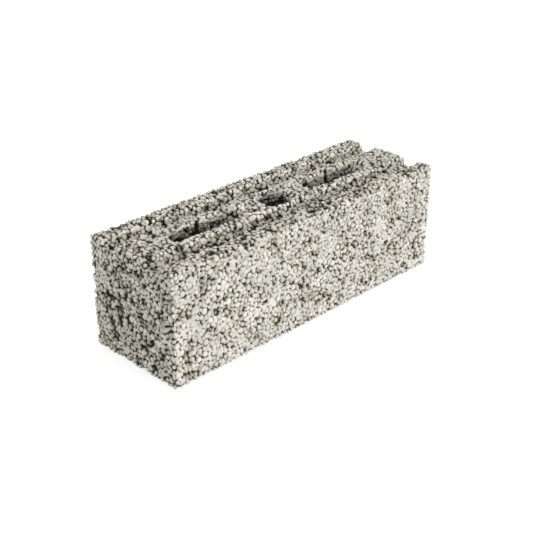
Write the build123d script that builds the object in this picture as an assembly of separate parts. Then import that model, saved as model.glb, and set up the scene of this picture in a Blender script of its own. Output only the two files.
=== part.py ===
from build123d import *
import os

# Lightweight aggregate concrete masonry block, cast in one piece.
# Millimetres. The origin is the middle of the bottom bed face.
# +X runs along the block, +Y across it, and +Z up to the bed face with the grooves and pockets.

# Outside of the block
length = 590.0
width = 190.0
height = 190.0
long_edge_radius = 3.0
end_edge_radius = 2.0

# Two grooves along the whole top bed, for mortar and reinforcement
groove_offset = 50.0
groove_mouth_width = 36.0
groove_floor_width = 22.0
groove_depth = 14.0
groove_floor_radius = 5.0
groove_lip_radius = 5.0

# Two long grip pockets on the centre line, one for each hand
grip_offset = 143.5
grip_length = 146.0
grip_width = 37.0
grip_depth = 120.0

# Round pocket between the two grip pockets
round_pocket_diameter = 60.0
round_pocket_depth = 120.0

# Shared by all the pockets, which narrow towards their closed floors
pocket_draft = 2.0
pocket_floor_radius = 8.0
pocket_mouth_bevel = 2.0


def block_section():
    """Section square to the length: the outside corners, and both grooves in the top edge."""
    half_mouth = groove_mouth_width / 2
    half_floor = groove_floor_width / 2
    corners = [(-width / 2, 0), (-width / 2, height)]
    radii = [long_edge_radius, long_edge_radius]
    for groove_middle in (-groove_offset, groove_offset):
        corners += [
            (groove_middle - half_mouth, height),
            (groove_middle - half_floor, height - groove_depth),
            (groove_middle + half_floor, height - groove_depth),
            (groove_middle + half_mouth, height),
        ]
        radii += [groove_lip_radius, groove_floor_radius, groove_floor_radius, groove_lip_radius]
    corners += [(width / 2, height), (width / 2, 0)]
    radii += [long_edge_radius, long_edge_radius]
    return make_face(FilletPolyline(*corners, radius=radii, close=True))


def block_body():
    """The block without its pockets, its end edges rounded like its long ones."""
    body = extrude(Plane.YZ * block_section(), amount=length / 2, both=True)
    ends = body.faces().filter_by(Axis.X)
    return fillet(ends.edges(), end_edge_radius)


def pocket(outline, depth):
    """Space of one closed pocket: a worn mouth in the top bed, and a shaft that narrows to its floor."""
    throat = Pos(0, 0, height - pocket_mouth_bevel) * outline
    mouth = extrude(throat, amount=2 * pocket_mouth_bevel, taper=-45)
    shaft = extrude(throat, amount=depth - pocket_mouth_bevel, dir=(0, 0, -1), taper=pocket_draft)
    floor = shaft.faces().sort_by(Axis.Z)[0]
    return fillet(floor.edges(), pocket_floor_radius) + mouth


def grip_pocket(middle):
    """Long pocket with round ends, for the fingers of one hand."""
    return pocket(Pos(middle, 0) * SlotOverall(grip_length, grip_width), grip_depth)


def round_pocket():
    """Round pocket in the middle of the block, which almost meets the grooves beside it."""
    return pocket(Circle(round_pocket_diameter / 2), round_pocket_depth)


block = block_body() - [grip_pocket(-grip_offset), round_pocket(), grip_pocket(grip_offset)]

os.makedirs("parts", exist_ok=True)
export_step(block, "parts/block.step")
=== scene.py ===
import math

import bpy
import numpy as np
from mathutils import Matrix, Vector
from mathutils.bvhtree import BVHTree
from mathutils.kdtree import KDTree


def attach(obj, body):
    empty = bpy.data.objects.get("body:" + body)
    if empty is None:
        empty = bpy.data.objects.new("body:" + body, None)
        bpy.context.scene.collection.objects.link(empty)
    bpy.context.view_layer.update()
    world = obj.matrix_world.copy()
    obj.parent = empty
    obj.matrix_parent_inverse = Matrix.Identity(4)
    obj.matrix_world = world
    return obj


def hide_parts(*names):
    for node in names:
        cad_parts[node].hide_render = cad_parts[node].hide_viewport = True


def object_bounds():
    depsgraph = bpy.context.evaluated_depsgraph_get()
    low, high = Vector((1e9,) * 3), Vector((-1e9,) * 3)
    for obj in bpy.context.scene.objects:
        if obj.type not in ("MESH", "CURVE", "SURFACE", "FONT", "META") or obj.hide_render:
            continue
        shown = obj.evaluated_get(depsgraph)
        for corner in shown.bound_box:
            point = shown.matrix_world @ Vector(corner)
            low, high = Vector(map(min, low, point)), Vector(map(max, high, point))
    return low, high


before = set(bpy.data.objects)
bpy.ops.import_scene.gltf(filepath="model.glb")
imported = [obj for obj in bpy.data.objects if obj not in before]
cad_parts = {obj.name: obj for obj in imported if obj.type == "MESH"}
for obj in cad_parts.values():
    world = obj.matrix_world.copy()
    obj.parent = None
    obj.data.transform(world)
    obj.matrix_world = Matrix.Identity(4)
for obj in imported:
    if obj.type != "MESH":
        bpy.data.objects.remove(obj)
cad_low, cad_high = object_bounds()

# The block's sizes that the skin needs, in metres, in the frame of the solids
LENGTH = cad_high.x - cad_low.x
WIDTH = cad_high.y - cad_low.y
HEIGHT = cad_high.z - cad_low.z
GROOVE_DEPTH = 0.014
GRIP_OFFSET = 0.1435
GRIP_LENGTH = 0.146
GRIP_WIDTH = 0.037
ROUND_POCKET_DIAMETER = 0.060
POCKET_DEPTH = 0.120
POCKET_MOUTH_BEVEL = 0.002

# The pockets by the names of their skins: middle along the block, half the straight part, and radius
POCKETS = {
    "left_grip_pocket_skin": (-GRIP_OFFSET, (GRIP_LENGTH - GRIP_WIDTH) / 2, GRIP_WIDTH / 2),
    "round_pocket_skin": (0.0, 0.0, ROUND_POCKET_DIAMETER / 2),
    "right_grip_pocket_skin": (GRIP_OFFSET, (GRIP_LENGTH - GRIP_WIDTH) / 2, GRIP_WIDTH / 2),
}

# The skin: an even mesh on the solid's faces, let down onto the grains below it
SKIN_STEP = 0.0012
DEEPEST = 0.0085
TIP_GAP = 0.00005
CREASE_ANGLE = 48
SIDE_ANGLE = 45
SIDE_BAND = 0.006
TEXTURE_MARGIN = 0.01

# Its directions, which are evened over more rounds near the outside faces than at the pockets, and the bulge
# from which a point is wholly on an outward edge
EDGE_BAND = 0.02
EDGE_ROUNDS = 30
MOUTH_ROUNDS = 8
MOUTH_NORMAL_SHARE = 0.3
EDGE_BULGE = 0.0008

# Noise: how many waves are added up, and how far they differ from its size
WAVES = 24
WAVE_RANGE = (0.6, 1.5)

# The most that the skin goes down, as shares of the wall's thickness and of the room in an inward bend
THICK = 0.024
WALL_SHARE = 0.42
BEND_SHARE = 0.8
LIMIT_ROUNDS = 2

# Radii of the grains, how closely they lie, and how many are tried between two looks for free room
GRAIN_LOW = 0.0019
GRAIN_HIGH = 0.0058
GRAIN_MEAN = 0.0035
GRAIN_SPREAD = 0.36
GRAIN_CLOSENESS = (0.68, 1.12)
GRAIN_WALL_SHARE = 0.45
TRIES = 60

# Outer layer, against the mould: how flat its grains are and how far they lie back, more on beds and ends
OUTER_COVER = 0.85
FLATNESS = 0.4
RECESS = 0.0011
BED_RECESS = 1.5

# Its clumps, the hollows between them, and the pits: a grain is left out where the clumping, with some
# chance added, falls below a limit
CLUMP_SIZE = 0.009
CLUMP_WEIGHT = 0.8
HOLLOW_SIZE = 0.022
HOLLOW_WEIGHT = 0.5
CLUMP_RECESS = 0.0016
CLUMP_LEVEL = 0.3
PIT_SHARE = 0.045
PIT_LIMIT = 1.2
PIT_CHANCE = 0.7

# Its grains on the block's outward edges: smaller, fuller, recessed less, and some of them lost
ON_EDGE = 0.5
EDGE_RADIUS = 0.0025
EDGE_GRAIN = 0.0032
EDGE_FILL = 0.0010
EDGE_HOLD = 0.8
EDGE_LOSS_SHARE = 0.15
EDGE_LOSS = 0.0025

# Crumbs strewn between the grains
CRUMBS = 9000
CRUMB_SIZES = (0.0015, 0.0025)
CRUMB_RECESS = (0.0002, 0.0035)

# Under layer, seen between the grains of the outer one
UNDER_COVER = 0.8
UNDER_MEAN = 0.0035
UNDER_DEPTH = (0.0062, 0.0095)

# How the skin hangs on the grains: skirts round them, cement in the creases, smears, lumps and worn tips
SKIRT = 0.0008
SKIRT_STEEPNESS = 3.5
SKIRT_SLACK = 0.002
NEXT_TO_NOTHING = 1e-12
CEMENT = (0.0002, 0.0055)
CEMENT_SIZE = 0.009
CEMENT_CONTRAST = 0.75
SMEAR = 0.1
SMEAR_MOST = 0.3
LUMP_SIZE = 0.0038
LUMP_HEIGHT = 0.00028
TIP_ROUNDING = 0.0003

# Deep pits that stand out in the photograph: place on the block and half width, in millimetres
PER_METRE = 1000
PIT_BAND = 0.0025
FRONT_PITS = (
    (-264, 32, 4), (-277, 22, 3), (-211, 71, 3), (-240, 149, 3), (-195, 159, 3), (-226, 164, 3),
    (-152, 68, 3), (43, 168, 4), (76, 177, 3), (83, 139, 3), (2, 106, 3), (29, 39, 5), (131, 107, 4),
    (147, 96, 3), (131, 70, 7), (180, 79, 6), (260, 54, 5), (229, 23, 5), (174, 128, 3), (215, 113, 3),
)
END_PITS = (
    (13, 165, 4), (20, 144, 3), (-1, 109, 4), (9, 80, 3), (-16, 95, 3), (88, 89, 5), (84, 55, 4),
    (-40, 74, 4), (-89, 92, 4), (-69, 46, 4), (-39, 8, 4), (-16, 38, 4), (-91, 182, 3),
)
GROOVE_PITS = (
    (142, -34, 4), (154, -36, 4), (110, -37, 4), (-83, -38, 4), (-116, -35, 4), (-59, 63, 4), (-178, 63, 4),
)

# Upright crevices in the far walls of the grip pockets, by their places along the block
GRIP_CREVICES = (-0.147, 0.147)
CREVICE_WIDTH = 0.0042
CREVICE_SQUARENESS = 4
CREVICE_DROP = 0.006
CREVICE_BOTTOM = 0.165
CREVICE_BAND = 0.004

# Painted shade, darker the deeper a point seems to lie: how far below its surroundings, and shares of how far
# it and they lie below the solid's face. More of it is painted on the beds and ends than on the front and
# back.
SHADE_ROUNDS = 14
SHADE_SHARE = 0.45
BROAD_SHADE_SHARE = 0.25
# How many times more painted shade the beds and ends get than the front and back
BED_SHADE = 1.7
# Painted shade on the outward edges, which face two lamps at once
EDGE_SHADE = 0.0006
# Painted shade in the upright crevices of the grip pockets, as a share of how deep they are cut
CREVICE_SHADE = 0.4
DARKEST = 0.006

# Painted shade of the middle ridge: the pockets in it are painted darker from one depth below the top bed
# over a reach, and the ridge itself is painted a little lighter
RIDGE_LENGTH = 0.44
RIDGE_WIDTH = 0.068
RIDGE_BOTTOM = 0.05
RIDGE_LIGHT = 0.0005
POCKET_SHADE = 0.0048
POCKET_SHADE_START = 0.009
POCKET_SHADE_REACH = 0.020
POCKET_SHADE_POWER = 1.5

# Colours of the concrete, as the stops of its ramps
GRAIN_COLOURS = ((0.0, (0.62, 0.602, 0.562)), (1.0, (0.76, 0.742, 0.70)))
# Painted shade in the crevices and pockets, from none to darkest
PAINTED_SHADE_COLOURS = (
    (0.10, (1.0, 1.0, 1.0)),
    (0.32, (0.80, 0.78, 0.705)),
    (0.62, (0.38, 0.365, 0.30)),
    (1.00, (0.05, 0.047, 0.037)),
)
MOTTLE_COLOURS = ((0.35, (0.88, 0.88, 0.875)), (0.65, (1.07, 1.07, 1.07)))
SPECKLE_COLOURS = ((0.32, (0.84, 0.84, 0.83)), (0.62, (1.06, 1.06, 1.06)))

# Its noises: size, detail and roughness
MOTTLE_NOISE = (0.045, 3, 0.5)
SPECKLE_NOISE = (0.0011, 4, 0.6)
PORE_NOISE = (0.0009, 5, 0.6)
PORE_DEPTH = 0.00035
PORE_STRENGTH = 0.6
CONCRETE_ROUGHNESS = 0.95
CONCRETE_SHINE = 0.2

# The camera, fitted to the straight edges of the block in the photograph, then moved 11 mm nearer so that the
# skin reaches the photograph's outline. Its sensor is in millimetres.
PHOTO_PIXELS = 540
FOCAL_PIXELS = 1049.3
SENSOR_WIDTH = 36.0
CAMERA_AZIMUTH = -44.85
CAMERA_ELEVATION = 27.16
CAMERA_DISTANCE = 1.7380
CAMERA_SLIDE_RIGHT = -0.0052
CAMERA_SLIDE_UP = -0.0334

# The studio: what the floor sends back and adds for the camera, and how strongly the surroundings shine
FLOOR_SIZE = 30
FLOOR_GREY = 0.55
FLOOR_ROUGHNESS = 0.9
FLOOR_GLOW = 0.62
SURROUNDINGS = 0.18

# All that is left to chance starts from this seed
SEED = 590190190
random = np.random.default_rng(SEED)


def read_vectors(items, name):
    """One vector of each item, as rows of an array."""
    values = np.empty(len(items) * 3, np.float32)
    items.foreach_get(name, values)
    return values.reshape(-1, 3).astype(float)


def even_skin(node):
    """Points, normals and quads of an even mesh on the faces of the solid."""
    source = bpy.data.objects.new("skin_source", node.data.copy())
    bpy.context.scene.collection.objects.link(source)
    remesh = source.modifiers.new("even_quads", "REMESH")
    remesh.mode = "VOXEL"
    remesh.voxel_size = SKIN_STEP
    depsgraph = bpy.context.evaluated_depsgraph_get()
    mesh = bpy.data.meshes.new_from_object(source.evaluated_get(depsgraph))
    bpy.data.objects.remove(source)
    points = read_vectors(mesh.vertices, "co")
    normals = read_vectors(mesh.vertex_normals, "vector")
    quads = np.empty(len(mesh.loops), np.int32)
    mesh.loops.foreach_get("vertex_index", quads)
    bpy.data.meshes.remove(mesh)
    return points, normals, quads.reshape(-1, 4)


def tree_of(points):
    """Search tree of points, by their row numbers."""
    tree = KDTree(len(points))
    for row, point in enumerate(points):
        tree.insert(point, row)
    tree.balance()
    return tree


def found_in(tree, middle, reach):
    """Rows of the points within reach of a middle, and how far away they are."""
    found = tree.find_range(middle, reach)
    rows = np.fromiter((item[1] for item in found), int, len(found))
    away = np.fromiter((item[2] for item in found), float, len(found))
    return rows, away


def dot(first, second):
    """Products of two lists of vectors, row by row."""
    return np.einsum("ij,ij->i", first, second)


def unit(vectors):
    """Vectors at length one."""
    return vectors / np.linalg.norm(vectors, axis=1)[:, None]


def waves(points, size):
    """Smooth noise of about -1 to 1 made of random waves, with lumps of about one size."""
    directions = random.normal(size=(WAVES, 3))
    steepness = math.pi / size * random.uniform(*WAVE_RANGE, WAVES)
    directions *= (steepness / np.linalg.norm(directions, axis=1))[:, None]
    total = np.zeros(len(points))
    for direction, phase in zip(directions, random.uniform(0, 2 * math.pi, WAVES)):
        total += np.sin(points @ direction + phase)
    return total / math.sqrt(WAVES)


def evened(values, quads, rounds):
    """Values of each point after rounds of averaging with the points round it."""
    count = len(values)
    corners = [np.ascontiguousarray(corner) for corner in quads.T]
    shares = len(corners) * sum(np.bincount(corner, minlength=count) for corner in corners)
    columns = []
    for column in values.reshape(count, -1).T:
        for _ in range(rounds):
            around = sum(column[corner] for corner in corners)
            column = sum(np.bincount(corner, around, count) for corner in corners) / shares
        columns.append(column)
    return np.stack(columns, axis=1).reshape(values.shape)


def more_on_beds(ways, most):
    """Factors that grow from one on the front and back to the most on the beds and ends."""
    return most + (1 - most) * ways[:, 1] ** 2


def skin_ways(points, normals, quads):
    """Directions in which the grains stand out, steadier near the outside faces than at the pockets."""
    beyond = np.maximum(np.abs(points[:, 0]) - LENGTH / 2, np.abs(points[:, 1]) - WIDTH / 2)
    outside = np.clip(1 + np.maximum(beyond, -points[:, 2]) / EDGE_BAND, 0, 1)[:, None]
    mouth_ways = evened(normals, quads, MOUTH_ROUNDS) + MOUTH_NORMAL_SHARE * normals
    edge_ways = evened(normals, quads, EDGE_ROUNDS)
    return unit(mouth_ways + np.minimum(2 * outside, 1) * (edge_ways - mouth_ways))


def edge_shares(points, normals, quads):
    """How much each point lies on an outward edge, from 0 to 1."""
    bulge = dot(points - evened(points, quads, EDGE_ROUNDS), normals)
    return np.clip(bulge / EDGE_BULGE, 0, 1)


def wall_widths(node, points, ways):
    """How thick the concrete is under each point, up to the most that matters to the grains."""
    solid = BVHTree.FromPolygons(
        [vertex.co for vertex in node.data.vertices], [polygon.vertices for polygon in node.data.polygons]
    )
    widths = np.full(len(points), THICK)
    for row, (point, way) in enumerate(zip(points, ways)):
        found = solid.ray_cast(point - way * SKIN_STEP, -way, THICK)
        if found[0] is not None:
            widths[row] = found[3] + SKIN_STEP
    return widths


def deepest(points, ways, walls, quads):
    """How far the skin may go down at each point without meeting the other side of a wall or itself."""
    limit = np.minimum(WALL_SHARE * walls, DEEPEST)
    for first, second in ((0, 1), (1, 2), (2, 3), (3, 0)):
        one, two = quads[:, first], quads[:, second]
        apart = points[one] - points[two]
        bend = dot(ways[one] - ways[two], apart) / dot(apart, apart)
        room = BEND_SHARE / np.maximum(bend, BEND_SHARE / DEEPEST)
        np.minimum.at(limit, one, room)
        np.minimum.at(limit, two, room)
    return evened(limit, quads, LIMIT_ROUNDS)


def grain_sizes(area, mean):
    """Radii of grains enough to cover an area, the largest first."""
    count = int(area / (math.pi * mean**2))
    radii = mean * np.exp(random.normal(0, GRAIN_SPREAD, count))
    return np.sort(radii[(radii > GRAIN_LOW) & (radii < GRAIN_HIGH)])[::-1]


def pack(points, radii):
    """Grains laid side by side, the largest first, each on a point where there is still room."""
    tree = tree_of(points)
    room = np.full(len(points), np.inf)
    rows = []
    laid = []
    place = 0
    while place < len(radii):
        closeness = random.uniform(*GRAIN_CLOSENESS)
        open_rows = np.flatnonzero(room >= closeness * radii[place])
        if not len(open_rows):
            place += 1
            continue
        for row in random.choice(open_rows, TRIES):
            if place == len(radii):
                break
            radius = closeness * radii[place]
            if room[row] < radius:
                continue
            near, away = found_in(tree, points[row], radius + GRAIN_HIGH)
            room[near] = np.minimum(room[near], away - radius)
            rows.append(row)
            laid.append(radii[place])
            place += 1
    return np.array(rows), np.array(laid)


def in_pits(points):
    """Which points lie in the pits of the front face, the left end and the grooves."""
    inside = np.zeros(len(points), bool)
    front = np.abs(points[:, 1] + WIDTH / 2) < PIT_BAND
    end = np.abs(points[:, 0] + LENGTH / 2) < PIT_BAND
    top = points[:, 2] > HEIGHT - GROOVE_DEPTH - PIT_BAND
    places = ((front, (0, 2), FRONT_PITS), (end, (1, 2), END_PITS), (top, (0, 1), GROOVE_PITS))
    for face, axes, pits in places:
        for *middle, size in pits:
            away = points[:, axes] - np.array(middle) / PER_METRE
            inside |= face & (np.hypot(*away.T) < size / PER_METRE)
    return inside


def outer_grains(points, ways, edges, walls, area):
    """Rows, radii and depths of the grains against the mould, with clumps, pits and worn edges."""
    rows, radii = pack(points - ways * GRAIN_MEAN, grain_sizes(OUTER_COVER * area, GRAIN_MEAN))
    clumps = CLUMP_WEIGHT * waves(points[rows], CLUMP_SIZE)
    clumps += HOLLOW_WEIGHT * waves(points[rows], HOLLOW_SIZE)
    kept = clumps + random.normal(0, PIT_CHANCE, len(rows)) > np.quantile(clumps, PIT_SHARE) * PIT_LIMIT
    kept &= ~in_pits(points[rows])
    rows, radii, clumps = rows[kept], radii[kept], clumps[kept]
    count, edge, wall = len(rows), edges[rows], walls[rows]
    radii = np.minimum(radii, GRAIN_WALL_SHARE * wall)
    radii = np.where(edge > ON_EDGE, np.minimum(radii, EDGE_GRAIN), radii)
    sink = radii * (1 - FLATNESS * random.random(count))
    sink += edge * (math.sqrt(2) - 1) * np.maximum(radii - EDGE_RADIUS, 0)
    recess = more_on_beds(ways[rows], BED_RECESS) * random.exponential(RECESS, count)
    recess *= random.integers(0, 2, count)
    recess += CLUMP_RECESS * np.maximum(CLUMP_LEVEL - clumps, 0)
    sink += recess * (1 - EDGE_HOLD * edge)
    lost = edge * (random.random(count) < EDGE_LOSS_SHARE)
    sink += lost * random.uniform(0, EDGE_LOSS, count)
    return rows, radii, np.minimum(sink, wall - radii) - EDGE_FILL * edge


def crumbs(points, walls):
    """Rows, radii and depths of the crumbs."""
    rows = random.choice(len(points), CRUMBS)
    radii = np.minimum(random.uniform(*CRUMB_SIZES, CRUMBS), GRAIN_WALL_SHARE * walls[rows])
    return rows, radii, radii + random.uniform(*CRUMB_RECESS, CRUMBS)


def under_grains(points, ways, walls, area):
    """Rows, radii and depths of the under layer, where the wall is thick enough for it."""
    rows, radii = pack(points - ways * UNDER_DEPTH[0], grain_sizes(UNDER_COVER * area, UNDER_MEAN))
    kept = walls[rows] > UNDER_DEPTH[1] + GRAIN_HIGH
    rows, radii = rows[kept], radii[kept]
    return rows, radii, random.uniform(*UNDER_DEPTH, len(rows))


def make_grains(points, ways, edges, walls, area):
    """Centres, radii and depths of all the grains and crumbs."""
    layers = (
        outer_grains(points, ways, edges, walls, area),
        crumbs(points, walls),
        under_grains(points, ways, walls, area),
    )
    rows, radii, sink = (np.concatenate(values) for values in zip(*layers))
    return points[rows] - ways[rows] * sink[:, None], radii, sink


def top_of(points, ways, centres, radii):
    """Height over each point where the line along its way leaves its grain, or the steep skirt round it."""
    out = points - centres
    above = dot(out, ways)
    inside = above * above - dot(out, out) + radii**2
    return np.where(inside > 0, 1, -SKIRT_STEEPNESS) * np.sqrt(np.abs(inside)) - above


def let_down(points, ways, grains):
    """Height of the skin over the solid's faces, and the two grains that hold it up the most."""
    tree = tree_of(points)
    height = np.full((2, len(points)), -DEEPEST)
    holder = np.full((2, len(points)), -1)
    for number, (centre, radius, sink) in enumerate(zip(*grains)):
        near, _ = found_in(tree, centre, math.hypot(radius + SKIRT, sink + SKIRT_SLACK) + SKIN_STEP)
        over = top_of(points[near], ways[near], centre, radius)
        first = over > height[0, near]
        second = ~first & (over > height[1, near])
        height[1, near[first]] = height[0, near[first]]
        holder[1, near[first]] = holder[0, near[first]]
        height[0, near[first]] = over[first]
        holder[0, near[first]] = number
        height[1, near[second]] = over[second]
        holder[1, near[second]] = number
    return height[0], holder


def slide(points, ways, height, holder, grains):
    """Points beside a crease between two grains moved over to lie in it, and their heights there."""
    centres, radii, _ = grains
    rows = np.flatnonzero((holder >= 0).all(axis=0))
    first, second = holder[:, rows]
    across = centres[second] - centres[first]
    apart = np.linalg.norm(across, axis=1)
    across /= apart[:, None]
    crease = (apart**2 + radii[first] ** 2 - radii[second] ** 2) / (2 * apart)
    surface = points[rows] + ways[rows] * height[rows, None]
    past = dot(surface - centres[first], across) - crease
    across -= ways[rows] * dot(across, ways[rows])[:, None]
    shift = -across * (past / np.maximum(dot(across, across), NEXT_TO_NOTHING))[:, None]
    near = np.linalg.norm(shift, axis=1) < SKIN_STEP / 2
    rows, first, second = rows[near], first[near], second[near]
    moved = points.copy()
    moved[rows] += shift[near]
    lowered = height.copy()
    both = [top_of(moved[rows], ways[rows], centres[each], radii[each]) for each in (first, second)]
    lowered[rows] = np.maximum(*both)
    return moved, lowered


def cement_over(points, ways, height, holder, grains):
    """Heights with the creases between grains filled by cement, by more in some places than in others."""
    centres, radii, _ = grains
    rows = np.flatnonzero((holder >= 0).all(axis=0))
    share = np.clip(0.5 + CEMENT_CONTRAST * waves(points[rows], CEMENT_SIZE), 0, 1)
    reach = CEMENT[0] + share * (CEMENT[1] - CEMENT[0])
    both = [top_of(points[rows], ways[rows], centres[each], radii[each]) for each in holder[:, rows]]
    fill = np.maximum(reach - np.abs(both[0] - both[1]), 0) ** 2 / (4 * reach)
    raised = height.copy()
    raised[rows] += fill
    return raised


def roughened(points, quads, height):
    """Heights with the grains smeared here and there, and with small lumps on them."""
    smear = np.clip(SMEAR * waves(points, CLUMP_SIZE), 0, SMEAR_MOST)
    height = height + smear * (evened(height, quads, 1) - height)
    return height + LUMP_HEIGHT * waves(points, LUMP_SIZE)


def crevices(points):
    """How much lower the skin lies in the upright crevices of the grip pockets' far walls."""
    wall = np.abs(points[:, 1] - GRIP_WIDTH / 2) < CREVICE_BAND
    wall &= (points[:, 2] > CREVICE_BOTTOM) & (points[:, 2] < HEIGHT + SKIN_STEP)
    drop = np.zeros(len(points))
    for middle in GRIP_CREVICES:
        away = (points[:, 0] - middle) / CREVICE_WIDTH
        drop += wall * CREVICE_DROP * np.exp(-(away**CREVICE_SQUARENESS))
    return drop


def worn(height, edges):
    """Heights with the tips softly worn off at the solid's faces, and a little above them at the edges."""
    top = EDGE_FILL * edges - TIP_GAP
    return top - TIP_ROUNDING * np.logaddexp(0, (top - np.maximum(height, -DEEPEST)) / TIP_ROUNDING)


def ridge_shade(points):
    """Painted shade added in the pockets, more further down, and taken off the ridge that they lie in, which
    is painted a little lighter.
    """
    ridge = (np.abs(points[:, 1]) < RIDGE_WIDTH / 2) & (np.abs(points[:, 0]) < RIDGE_LENGTH / 2)
    ridge &= points[:, 2] > RIDGE_BOTTOM
    down = np.clip((HEIGHT - POCKET_SHADE_START - points[:, 2]) / POCKET_SHADE_REACH, 0, 1)
    return ridge * (POCKET_SHADE * down**POCKET_SHADE_POWER - RIDGE_LIGHT)


def shade(points, ways, edges, quads, height):
    """Painted shade of each point, darker the deeper it seems to lie, as a share of the darkest."""
    broad = evened(height, quads, SHADE_ROUNDS)
    # Painted shade: darker where the skin lies below its surroundings and below the solid's face
    painted_shade = np.maximum(broad - height, 0) - SHADE_SHARE * height - BROAD_SHADE_SHARE * broad
    # More painted shade on the beds and ends than on the front and back
    painted_shade *= more_on_beds(ways, BED_SHADE)
    # Painted shade on the outward edges
    painted_shade += EDGE_SHADE * edges
    # Painted shade deep in the pockets, and painted light on the ridge round them
    painted_shade += ridge_shade(points)
    # Painted shade in the grip pockets' upright crevices
    painted_shade += CREVICE_SHADE * crevices(points)
    return painted_shade / DARKEST


def triangles_of(quads, height, holder):
    """Two triangles of each quad, cut along its crease, or over its crest where it has none."""
    a, b, c, d = quads.T
    owner = holder[0][quads]
    whole = (owner == owner[:, :1]).all(axis=1)
    first_lower = height[a] + height[c] < height[b] + height[d]
    along_first = np.where(whole, ~first_lower, first_lower)
    one = np.where(along_first, [a, b, c], [b, c, d])
    two = np.where(along_first, [a, c, d], [b, d, a])
    return one.T, two.T


def add_node(tree, kind, **settings):
    """A node of a material or world, with its settings."""
    node = tree.nodes.new(kind)
    for name, value in settings.items():
        setattr(node, name, value)
    return node


def add_noise(tree, place, size, detail, roughness):
    """Noise with lumps of one size at a place."""
    node = add_node(tree, "ShaderNodeTexNoise")
    node.inputs["Scale"].default_value = 1 / size
    node.inputs["Detail"].default_value = detail
    node.inputs["Roughness"].default_value = roughness
    tree.links.new(place, node.inputs["Vector"])
    return node.outputs["Fac"]


def add_ramp(tree, value, stops):
    """Colour that a ramp has at a value."""
    node = add_node(tree, "ShaderNodeValToRGB")
    elements = node.color_ramp.elements
    while len(elements) < len(stops):
        elements.new(0.5)
    for element, (position, colour) in zip(elements, stops):
        element.position = position
        element.color = (*colour, 1)
    tree.links.new(value, node.inputs["Fac"])
    return node.outputs["Color"]


def add_product(tree, first, second):
    """Product of two colours."""
    node = add_node(tree, "ShaderNodeMix", data_type="RGBA", blend_type="MULTIPLY")
    node.inputs["Factor"].default_value = 1.0
    tree.links.new(first, node.inputs["A"])
    tree.links.new(second, node.inputs["B"])
    return node.outputs["Result"]


def concrete_colour(tree, place):
    """Colour of the concrete: its grains' tones, with painted shade where it lies deep, mottled and speckled.
    """
    tone = add_node(tree, "ShaderNodeAttribute", attribute_name="tone").outputs["Fac"]
    # Painted shade, read from the skin's attribute
    painted_shade = add_node(tree, "ShaderNodeAttribute", attribute_name="painted_shade").outputs["Fac"]
    colour = add_product(tree, add_ramp(tree, tone, GRAIN_COLOURS), add_ramp(tree, painted_shade, PAINTED_SHADE_COLOURS))
    for noise, stops in ((MOTTLE_NOISE, MOTTLE_COLOURS), (SPECKLE_NOISE, SPECKLE_COLOURS)):
        colour = add_product(tree, colour, add_ramp(tree, add_noise(tree, place, *noise), stops))
    return colour


def concrete():
    """Pale grey cement over rounded grains, with painted shade in the crevices, and finely pored."""
    material = bpy.data.materials.new("lightweight_concrete")
    material.use_nodes = True
    tree = material.node_tree
    place = add_node(tree, "ShaderNodeTexCoord").outputs["Object"]
    pores = add_node(tree, "ShaderNodeBump")
    pores.inputs["Strength"].default_value = PORE_STRENGTH
    pores.inputs["Distance"].default_value = PORE_DEPTH
    tree.links.new(add_noise(tree, place, *PORE_NOISE), pores.inputs["Height"])
    shader = tree.nodes["Principled BSDF"]
    shader.inputs["Roughness"].default_value = CONCRETE_ROUGHNESS
    shader.inputs["Specular IOR Level"].default_value = CONCRETE_SHINE
    tree.links.new(concrete_colour(tree, place), shader.inputs["Base Color"])
    tree.links.new(pores.outputs["Normal"], shader.inputs["Normal"])
    return material


def pocket_rows(centres):
    """For each pocket: its name, its middle along the block, and which face centres lie inside it."""
    low = HEIGHT - POCKET_DEPTH - SKIN_STEP
    high = HEIGHT - POCKET_MOUTH_BEVEL / 2
    deep = (centres[:, 2] > low) & (centres[:, 2] < high)
    for name, (middle, straight, radius) in POCKETS.items():
        along = np.maximum(np.abs(centres[:, 0] - middle) - straight, 0)
        out = np.hypot(along, centres[:, 1])
        yield name, middle, deep & (out < radius + POCKET_MOUTH_BEVEL / 2)


def split(points, normals, quads):
    """Faces of each piece of the skin by name, so that no piece has too many."""
    centres = points[quads].mean(axis=1)
    facing = normals[quads].mean(axis=1)
    left = np.ones(len(quads), bool)
    pieces = {}
    for name, middle, inside in pocket_rows(centres):
        radial = np.stack([centres[:, 0] - middle, centres[:, 1]], axis=1)
        outward = dot(radial, facing[:, :2])
        inside &= (outward < 0) | (centres[:, 2] < HEIGHT - GROOVE_DEPTH - SKIN_STEP)
        pieces[name] = inside & left
        left &= ~inside
    sides = (
        ("left_end_skin", 0, -1, LENGTH / 2),
        ("right_end_skin", 0, 1, LENGTH / 2),
        ("front_face_skin", 1, -1, WIDTH / 2),
        ("back_face_skin", 1, 1, WIDTH / 2),
        ("bottom_bed_skin", 2, -1, 0.0),
    )
    for name, axis, sign, reach in sides:
        flat = facing[:, axis] * sign > math.cos(math.radians(SIDE_ANGLE))
        flat &= centres[:, axis] * sign > reach - SIDE_BAND
        pieces[name] = flat & left
        left &= ~flat
    pieces["top_bed_skin"] = left
    return pieces


def spread_cup(points, middle, straight):
    """Places in a pocket with its walls laid out flat round its floor."""
    spine = np.clip(points[:, 0] - middle, -straight, straight)
    away = np.stack([points[:, 0] - middle - spine, points[:, 1]], axis=1)
    out = np.hypot(*away.T)
    rise = np.maximum(points[:, 2] - (HEIGHT - POCKET_DEPTH), 0)
    away *= ((out + rise) / np.maximum(out, SKIN_STEP / 100))[:, None]
    return np.stack([spine + away[:, 0], away[:, 1]], axis=1)


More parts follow.
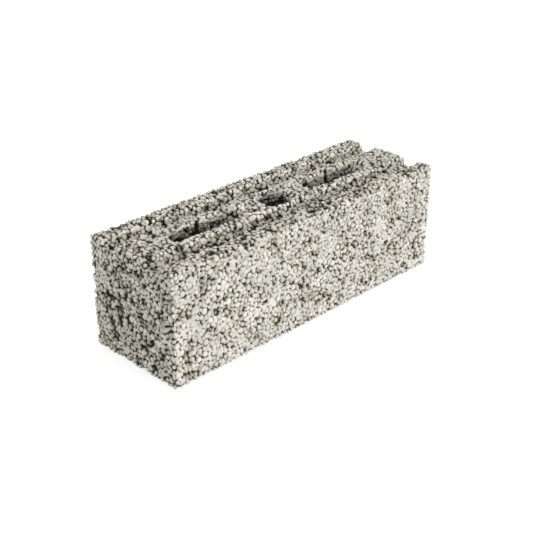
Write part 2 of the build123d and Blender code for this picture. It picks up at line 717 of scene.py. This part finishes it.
def flat_places(name, points):
    """Where the points of a piece lie on its texture, from 0 to 1 both ways."""
    if name in POCKETS:
        middle, straight, _ = POCKETS[name]
        flat = spread_cup(points, middle, straight)
    else:
        flat = points[:, np.sort(np.argsort(np.ptp(points, axis=0))[1:])]
    return TEXTURE_MARGIN + (1 - 2 * TEXTURE_MARGIN) * (flat - flat.min(axis=0)) / np.ptp(flat, axis=0)


def make_piece(name, points, base, triangles, attributes, material):
    """One piece of the skin as an object that rides on the block's body."""
    rows, corners = np.unique(triangles, return_inverse=True)
    mesh = bpy.data.meshes.new(name)
    mesh.vertices.add(len(rows))
    mesh.vertices.foreach_set("co", points[rows].ravel())
    mesh.loops.add(corners.size)
    mesh.loops.foreach_set("vertex_index", corners.ravel())
    mesh.polygons.add(len(triangles))
    mesh.polygons.foreach_set("loop_start", np.arange(0, corners.size, 3))
    mesh.update(calc_edges=True)
    places = flat_places(name, base[rows])[corners.ravel()].astype(np.float32)
    mesh.uv_layers.new(name="OFBake").data.foreach_set("uv", places.ravel())
    mesh.shade_smooth()
    mesh.set_sharp_from_angle(angle=math.radians(CREASE_ANGLE))
    for key, values in attributes.items():
        mesh.attributes.new(key, "FLOAT", "POINT").data.foreach_set("value", values[rows].astype(np.float32))
    mesh.materials.append(material)
    piece = bpy.data.objects.new(name, mesh)
    bpy.context.scene.collection.objects.link(piece)
    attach(piece, "root")
    return piece


def make_skin():
    """The granular skin of the whole block, in pieces."""
    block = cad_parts["block"]
    points, normals, quads = even_skin(block)
    ways = skin_ways(points, normals, quads)
    edges = edge_shares(points, normals, quads)
    walls = wall_widths(block, points, ways)
    grains = make_grains(points, ways, edges, walls, len(quads) * SKIN_STEP**2)
    height, holder = let_down(points, ways, grains)
    moved, height = slide(points, ways, height, holder, grains)
    height = cement_over(moved, ways, height, holder, grains)
    height = worn(roughened(points, quads, height) - crevices(points), edges)
    # Painted shade in crevices, pockets and on edges, kept on the skin for the material
    painted_shade = shade(points, ways, edges, quads, height)
    tone = random.random(len(grains[1]) + 1)[holder[0]]
    limit = deepest(points, ways, walls, quads)
    height = limit * np.tanh(height / limit)
    lowest, highest = np.array(cad_low) + TIP_GAP, np.array(cad_high) - TIP_GAP
    relief = np.clip(moved + ways * height[:, None], lowest, highest)
    one, two = triangles_of(quads, height, holder)
    attributes = {"tone": tone, "painted_shade": painted_shade}
    material = concrete()
    pieces = [
        make_piece(name, relief, points, np.concatenate([one[chosen], two[chosen]]), attributes, material)
        for name, chosen in split(points, normals, quads).items()
    ]
    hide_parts("block")


def camera_axes():
    """Unit vectors from the block to the camera, and to the right and up in its view."""
    azimuth = math.radians(CAMERA_AZIMUTH)
    elevation = math.radians(CAMERA_ELEVATION)
    level = math.cos(elevation)
    back = Vector((math.sin(azimuth) * level, -math.cos(azimuth) * level, math.sin(elevation)))
    right = Vector((math.cos(azimuth), math.sin(azimuth), 0))
    return back, right, back.cross(right)


def make_camera():
    """Camera at the photograph's viewing angle."""
    back, right, up = camera_axes()
    data = bpy.data.cameras.new("camera")
    data.sensor_width = SENSOR_WIDTH
    data.lens = FOCAL_PIXELS / PHOTO_PIXELS * SENSOR_WIDTH
    camera = bpy.data.objects.new("camera", data)
    bpy.context.scene.collection.objects.link(camera)
    middle = (cad_low + cad_high) / 2
    camera.location = middle + back * CAMERA_DISTANCE + right * CAMERA_SLIDE_RIGHT + up * CAMERA_SLIDE_UP
    camera.rotation_euler = (-back).to_track_quat("-Z", "Y").to_euler()
    bpy.context.scene.camera = camera


def make_lamp(name, direction, strength, spread):
    """Soft lamp far away that shines at the block from a direction."""
    data = bpy.data.lights.new(name, "SUN")
    data.angle = math.radians(spread)
    data.energy = strength
    lamp = bpy.data.objects.new(name, data)
    bpy.context.scene.collection.objects.link(lamp)
    lamp.rotation_euler = (-Vector(direction)).to_track_quat("-Z", "Y").to_euler()


def make_floor():
    """Pale floor that the camera sees as white but for the block's soft shadow."""
    bpy.ops.mesh.primitive_plane_add(size=FLOOR_SIZE)
    floor = bpy.context.object
    floor.name = "floor"
    material = bpy.data.materials.new("pale_floor")
    material.use_nodes = True
    tree = material.node_tree
    shader = tree.nodes["Principled BSDF"]
    shader.inputs["Base Color"].default_value = (FLOOR_GREY, FLOOR_GREY, FLOOR_GREY, 1)
    shader.inputs["Roughness"].default_value = FLOOR_ROUGHNESS
    shader.inputs["Specular IOR Level"].default_value = 0.0
    shader.inputs["Emission Color"].default_value = (1, 1, 1, 1)
    path = add_node(tree, "ShaderNodeLightPath")
    glow = add_node(tree, "ShaderNodeMath", operation="MULTIPLY")
    glow.inputs[1].default_value = FLOOR_GLOW
    tree.links.new(path.outputs["Is Camera Ray"], glow.inputs[0])
    tree.links.new(glow.outputs[0], shader.inputs["Emission Strength"])
    floor.data.materials.append(material)


def make_world():
    """Even pale surroundings, which the camera sees as white."""
    world = bpy.data.worlds.new("studio")
    bpy.context.scene.world = world
    world.use_nodes = True
    tree = world.node_tree
    background = tree.nodes["Background"]
    background.inputs["Color"].default_value = (1, 1, 1, 1)
    path = add_node(tree, "ShaderNodeLightPath")
    level = add_node(tree, "ShaderNodeMapRange")
    level.inputs["To Min"].default_value = SURROUNDINGS
    level.inputs["To Max"].default_value = 1.0
    tree.links.new(path.outputs["Is Camera Ray"], level.inputs["Value"])
    tree.links.new(level.outputs["Result"], background.inputs["Strength"])


make_skin()
make_camera()
make_world()
make_floor()
make_lamp("key", direction=(0.26, -0.96, 0.14), strength=2.30, spread=12)
make_lamp("side", direction=(-0.99, -0.1, 0.14), strength=1.04, spread=8)
make_lamp("overhead", direction=(0.0, 0.0, 1.0), strength=2.12, spread=110)
bpy.context.scene.view_settings.view_transform = "Standard"
